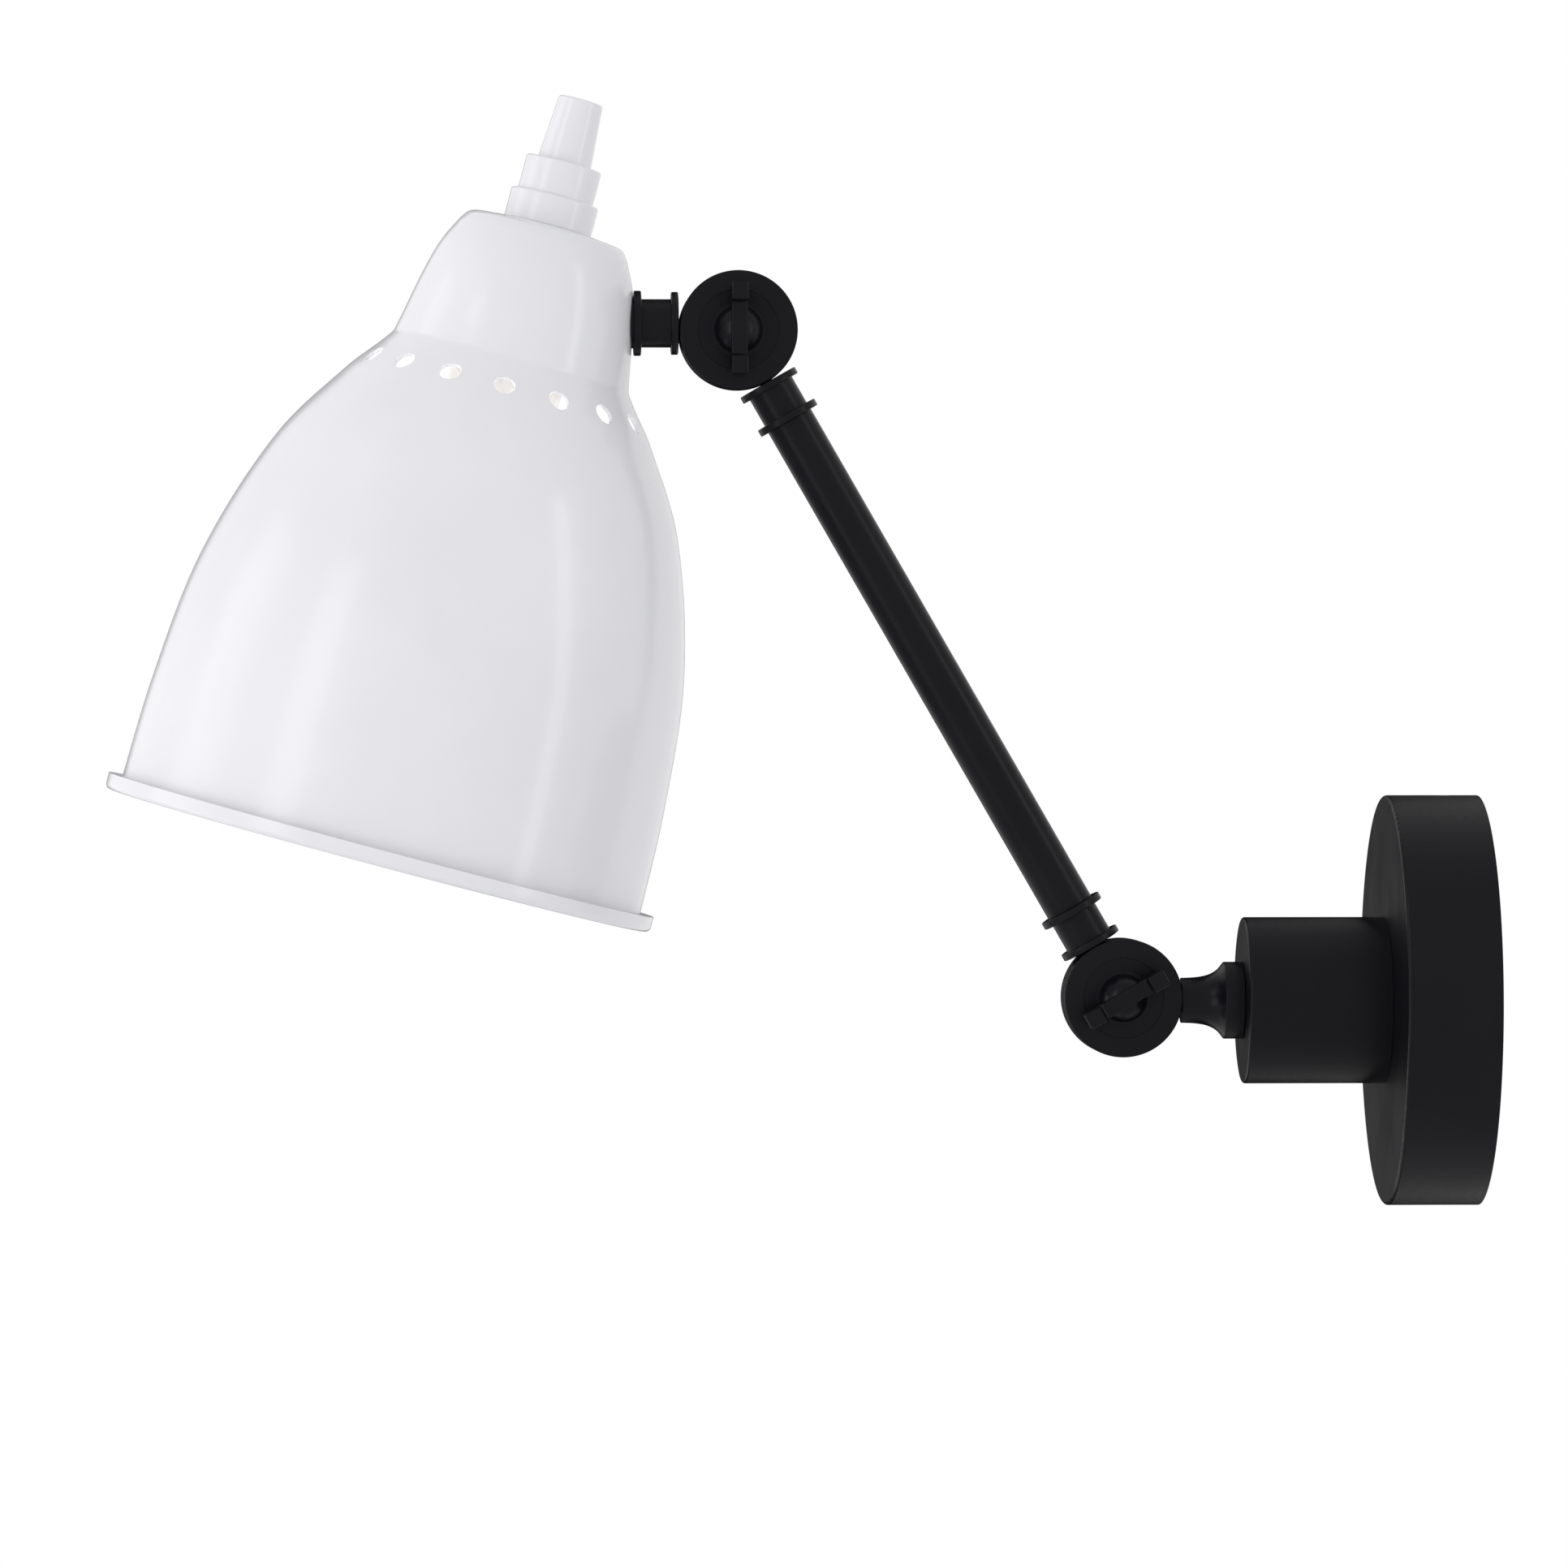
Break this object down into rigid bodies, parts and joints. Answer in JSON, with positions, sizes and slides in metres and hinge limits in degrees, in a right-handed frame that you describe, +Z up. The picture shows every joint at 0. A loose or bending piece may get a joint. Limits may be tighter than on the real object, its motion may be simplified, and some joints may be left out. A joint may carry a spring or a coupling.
{
  "type": "articulating wall lamp",
  "caption": "Wall lamp on a round canopy: a tube arm between two friction knuckles with wing screws carries a bell-shaped shade with vent holes and a bulb.",
  "frame": {"origin": "centre of the canopy's back, on the wall", "axes": "+Z up, +Y into the wall, so the lamp reaches out along -Y; the wing screws are on the +X side"},
  "size_m": [0.1366, 0.3336, 0.2699],
  "materials": {
    "black_coat": "fine satin powder coat, black",
    "white_enamel": "gloss enamel, white",
    "zinc_steel": "bright zinc plate",
    "brass": "plain turned brass",
    "white_plastic": "moulded nylon",
    "fibre": "pressed fibre",
    "holder_plastic": "moulded thermoset",
    "ceramic": "unglazed steatite",
    "bulb_metal": "rolled thread",
    "opal_glass": "opal, lit from inside"
  },
  "bodies": {
    "wall_base": {"canopy": "black_coat", "wall_bracket": "zinc_steel", "canopy_screws": "zinc_steel", "terminal_block": "white_plastic", "terminal_screws": "brass", "block_screws": "zinc_steel", "earth_washer": "zinc_steel", "earth_screw": "brass", "barrel": "black_coat", "barrel_screws": "zinc_steel", "swivel_bush": "white_plastic", "stop_pin": "zinc_steel"},
    "stem": {"base_stem": "black_coat", "stop_washer": "zinc_steel", "swivel_nut": "zinc_steel", "lower_knuckle_base": "black_coat"},
    "arm": {"lower_knuckle_arm": "black_coat", "lower_friction_washer": "fibre", "lower_collar": "black_coat", "lower_nipple": "zinc_steel", "arm_tube": "black_coat", "upper_nipple": "zinc_steel", "upper_collar": "black_coat", "upper_knuckle_arm": "black_coat", "upper_friction_washer": "fibre"},
    "head": {"upper_knuckle_head": "black_coat", "head_collar": "black_coat", "head_nipple": "zinc_steel", "neck_saddle": "black_coat", "inner_saddle": "zinc_steel", "neck_nut": "zinc_steel", "shade": "white_enamel", "shade_cap": "white_enamel", "cap_cone": "white_enamel", "holder_nipple": "zinc_steel", "holder_washer": "zinc_steel", "holder_nut": "zinc_steel", "holder_dome": "holder_plastic", "holder_skirt": "holder_plastic", "holder_insert": "ceramic", "threaded_shell": "brass", "centre_contact": "brass", "bulb_cap": "bulb_metal", "bulb_glass": "opal_glass"},
    "lower_knob": {"lower_wing_screw": "black_coat", "lower_spring_washer": "zinc_steel"},
    "upper_knob": {"upper_wing_screw": "black_coat", "upper_spring_washer": "zinc_steel"}
  },
  "joints": [
    {"name": "base_swivel", "type": "hinge", "parent": "wall_base", "child": "stem", "pos_m": [0, -0.0574, 0], "axis": [0, -1, 0], "range_deg": [-170, 170]},
    {"name": "lower_tilt", "type": "hinge", "parent": "stem", "child": "arm", "pos_m": [0, -0.08692, 0.00075], "axis": [1, 0, 0], "range_deg": [-30, 150]},
    {"name": "upper_tilt", "type": "hinge", "parent": "arm", "child": "head", "pos_m": [0, -0.18057, 0.16296], "axis": [1, 0, 0], "range_deg": [-150, 30]},
    {"name": "lower_knob_turn", "type": "hinge", "parent": "stem", "child": "lower_knob", "pos_m": [0, -0.08692, 0.00075], "axis": [1, 0, 0], "range_deg": [-45, 360]},
    {"name": "upper_knob_turn", "type": "hinge", "parent": "head", "child": "upper_knob", "pos_m": [0, -0.18057, 0.16296], "axis": [1, 0, 0], "range_deg": [-45, 360]}
  ]
}
